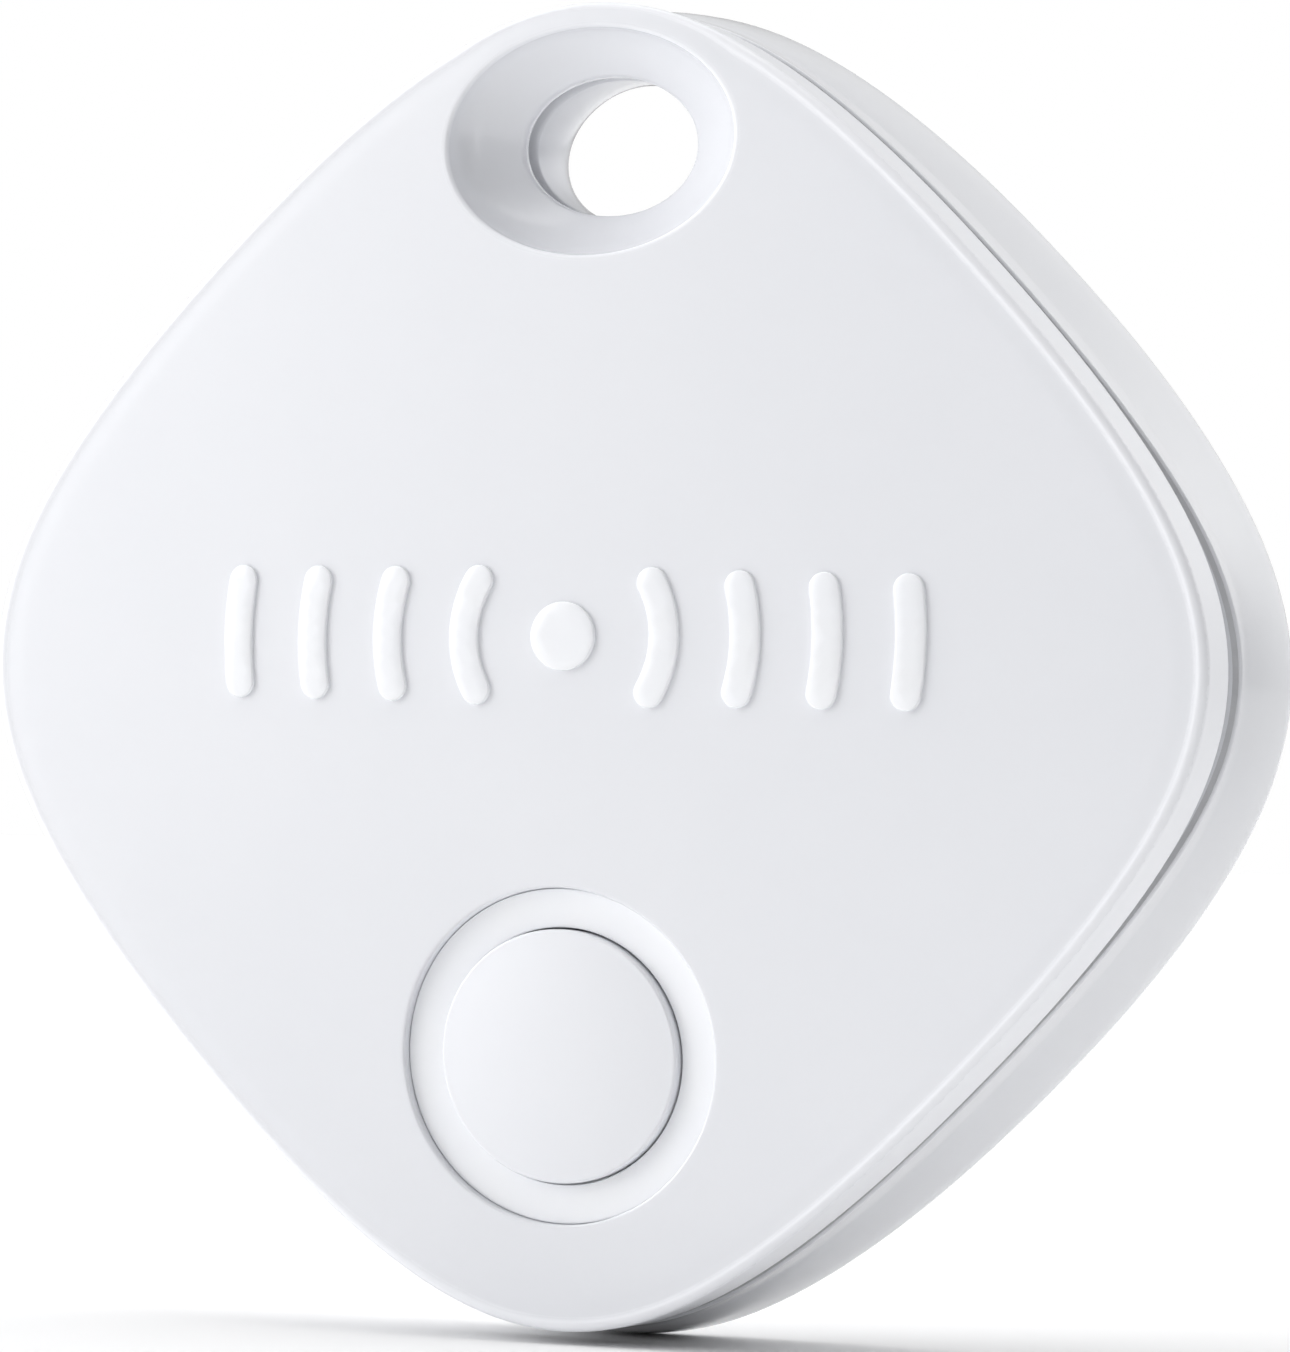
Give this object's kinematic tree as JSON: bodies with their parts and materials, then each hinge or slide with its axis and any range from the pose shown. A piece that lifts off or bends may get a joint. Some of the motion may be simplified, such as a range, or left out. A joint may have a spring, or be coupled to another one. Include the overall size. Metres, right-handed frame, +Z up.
{
  "type": "bluetooth tracker tag",
  "caption": "Flat white rounded-diamond tracker tag with an oval funnel hole for a key ring at the top corner, a round push button below and a lift-off back over a coin cell.",
  "frame": {"origin": "middle of the key ring hole, half way through the tag's depth", "axes": "+Z up from the button to the key ring hole, +X to the tag's right seen from its face, +Y from the domed face to the flat back; the face looks towards -Y"},
  "size_m": [0.0414, 0.0086, 0.0414],
  "materials": {
    "satin_white": "satin white ABS with a very fine grain",
    "gloss_white": "polished white ABS",
    "bright_white": "polished bright white insert",
    "seal_grey": "matte light grey silicone",
    "natural_plastic": "natural nylon, matte",
    "black_plastic": "moulded black epoxy or nylon",
    "board_green": "green solder mask over glass laminate",
    "ceramic_white": "fired ceramic",
    "ceramic_tan": "fired ceramic with tinned ends",
    "steel": "plated steel",
    "cell_steel": "nickel plated steel with a fine spun grain",
    "brass": "rolled brass",
    "gold_plate": "gold plated phosphor bronze",
    "adhesive": "black adhesive foam tape",
    "foam_black": "closed-cell black foam"
  },
  "bodies": {
    "front_case": {"front_shell": "satin_white", "button_seal": "seal_grey", "button_ring": "bright_white", "tact_switch_body": "steel", "circuit_board": "board_green", "radio_chip": "black_plastic", "flash_chip": "black_plastic", "chip_antenna": "ceramic_white", "main_crystal": "steel", "sleep_crystal": "steel", "supply_inductor": "black_plastic", "supply_capacitor": "ceramic_tan", "bulk_capacitor": "ceramic_tan", "antenna_capacitor": "ceramic_tan", "antenna_inductor": "ceramic_white", "button_resistor": "black_plastic", "sounder_resistor": "black_plastic", "sounder_adhesive_ring": "adhesive", "sounder_diaphragm": "brass", "sounder_ceramic": "ceramic_white", "sounder_spring_rim": "gold_plate", "sounder_spring_middle": "gold_plate", "cell_negative_leaf": "gold_plate", "cell_positive_clip": "gold_plate", "cell_tray": "natural_plastic", "case_screw_1": "steel", "case_screw_2": "steel", "case_screw_3": "steel", "case_screw_4": "steel"},
    "rear_cover": {"rear_shell": "gloss_white", "perimeter_gasket": "seal_grey", "keyring_tube_gasket": "seal_grey", "foam_pad": "foam_black"},
    "cell": {"coin_cell_can": "cell_steel", "coin_cell_grommet": "black_plastic", "coin_cell_cap": "cell_steel"},
    "button": {"button_cap": "satin_white"},
    "plunger": {"tact_switch_plunger": "black_plastic"}
  },
  "joints": [
    {"name": "cover_lift", "type": "slide", "parent": "front_case", "child": "rear_cover", "axis": [0, 1, 0], "range_m": [0, 0.025]},
    {"name": "cell_lift", "type": "slide", "parent": "front_case", "child": "cell", "axis": [0, 1, 0], "range_m": [0, 0.012]},
    {"name": "button_press", "type": "slide", "parent": "front_case", "child": "button", "axis": [0, 1, 0], "range_m": [0, 0.0002], "stiffness_N_per_m": 2500},
    {"name": "switch_travel", "type": "slide", "parent": "front_case", "child": "plunger", "axis": [0, 1, 0], "range_m": [0, 0.0002]}
  ],
  "couplings": [
    {"joint": "cell_lift", "follows": "cover_lift", "ratio": 0.48},
    {"joint": "switch_travel", "follows": "button_press", "ratio": 1}
  ]
}
